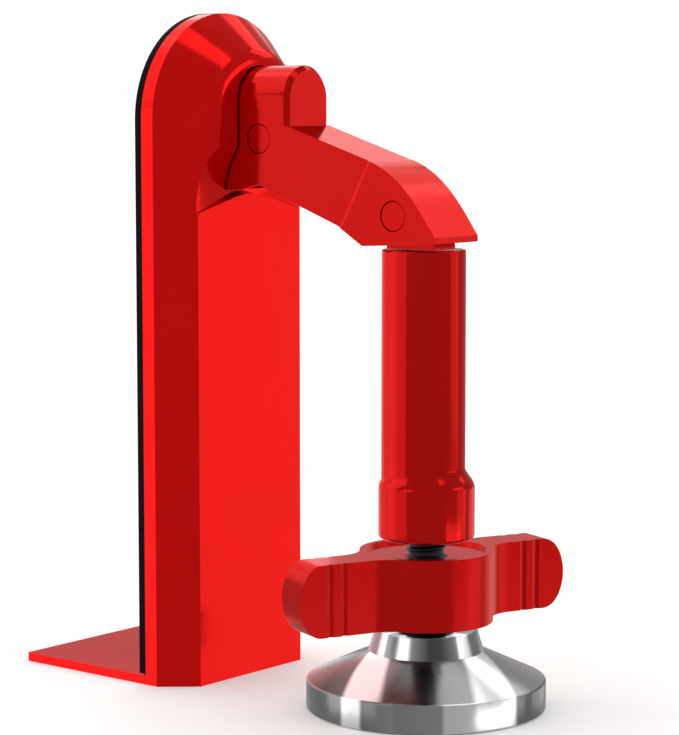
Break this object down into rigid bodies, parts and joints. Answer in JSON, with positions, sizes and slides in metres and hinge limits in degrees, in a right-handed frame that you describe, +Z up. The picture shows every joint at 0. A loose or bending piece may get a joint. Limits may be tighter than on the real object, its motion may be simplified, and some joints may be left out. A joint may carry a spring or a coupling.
{
  "type": "door stop brace",
  "caption": "Red cast door stop brace with a rubber-backed hooked body, hinged arm and leg, wing screw and a round tilting metal foot",
  "frame": {"origin": "On the underside of the lip, at the middle of the width, in line with the back face of the rubber pad", "axes": "+Z up the body, +Y back through the pad and along the lip, X across the width"},
  "size_m": [0.072, 0.1323, 0.1592],
  "materials": {
    "red_coat": "gloss",
    "black_rubber": "matte",
    "plain_steel": "satin",
    "foot_chrome": "gloss",
    "insert_brass": "satin",
    "nylon": "matte"
  },
  "bodies": {
    "body": {"body_casting": "red_coat", "back_cover": "plain_steel", "back_pad": "black_rubber", "hinge_bracket": "plain_steel", "cover_screw_1": "plain_steel", "cover_screw_2": "plain_steel", "cover_screw_3": "plain_steel", "cover_screw_4": "plain_steel", "bracket_screw_1": "plain_steel", "bracket_screw_2": "plain_steel"},
    "arm": {"arm": "red_coat", "arm_pin": "red_coat", "arm_washer_left": "nylon", "arm_washer_right": "nylon"},
    "leg": {"leg": "red_coat", "elbow_pin": "red_coat", "elbow_washer_left": "nylon", "elbow_washer_right": "nylon", "threaded_insert": "insert_brass"},
    "carrier": {"thrust_washer": "black_rubber"},
    "screw": {"spindle": "plain_steel", "travel_stop_ring": "plain_steel", "wing_knob": "red_coat", "knob_cross_pin": "plain_steel"},
    "swivel": {"ball_seat": "nylon"},
    "foot": {"foot": "foot_chrome", "foot_retaining_plate": "plain_steel", "plate_screw_1": "plain_steel", "plate_screw_2": "plain_steel", "plate_screw_3": "plain_steel", "foot_sole": "black_rubber"}
  },
  "joints": [
    {"name": "arm_swing", "type": "hinge", "parent": "body", "child": "arm", "pos_m": [0, -0.023, 0.1297], "axis": [1, 0, 0], "range_deg": [0, 7.5]},
    {"name": "leg_rock", "type": "hinge", "parent": "arm", "child": "leg", "pos_m": [0, -0.0631, 0.1129], "axis": [1, 0, 0], "range_deg": [-3, 3]},
    {"name": "spindle_travel", "type": "slide", "parent": "leg", "child": "carrier", "axis": [0, 0, -1], "range_m": [-0.003, 0.02]},
    {"name": "knob_turn", "type": "hinge", "parent": "carrier", "child": "screw", "pos_m": [0, -0.0668, 0.0286], "axis": [0, 0, -1], "range_deg": [-540, 3600]},
    {"name": "foot_tilt_fore_aft", "type": "hinge", "parent": "carrier", "child": "swivel", "pos_m": [0, -0.0668, 0.009], "axis": [1, 0, 0], "range_deg": [-4, 4]},
    {"name": "foot_tilt_side", "type": "hinge", "parent": "swivel", "child": "foot", "pos_m": [0, -0.0668, 0.009], "axis": [0, 1, 0], "range_deg": [-4, 4]}
  ],
  "couplings": [
    {"joint": "spindle_travel", "follows": "knob_turn", "m_per_rad": 0.00031831}
  ]
}
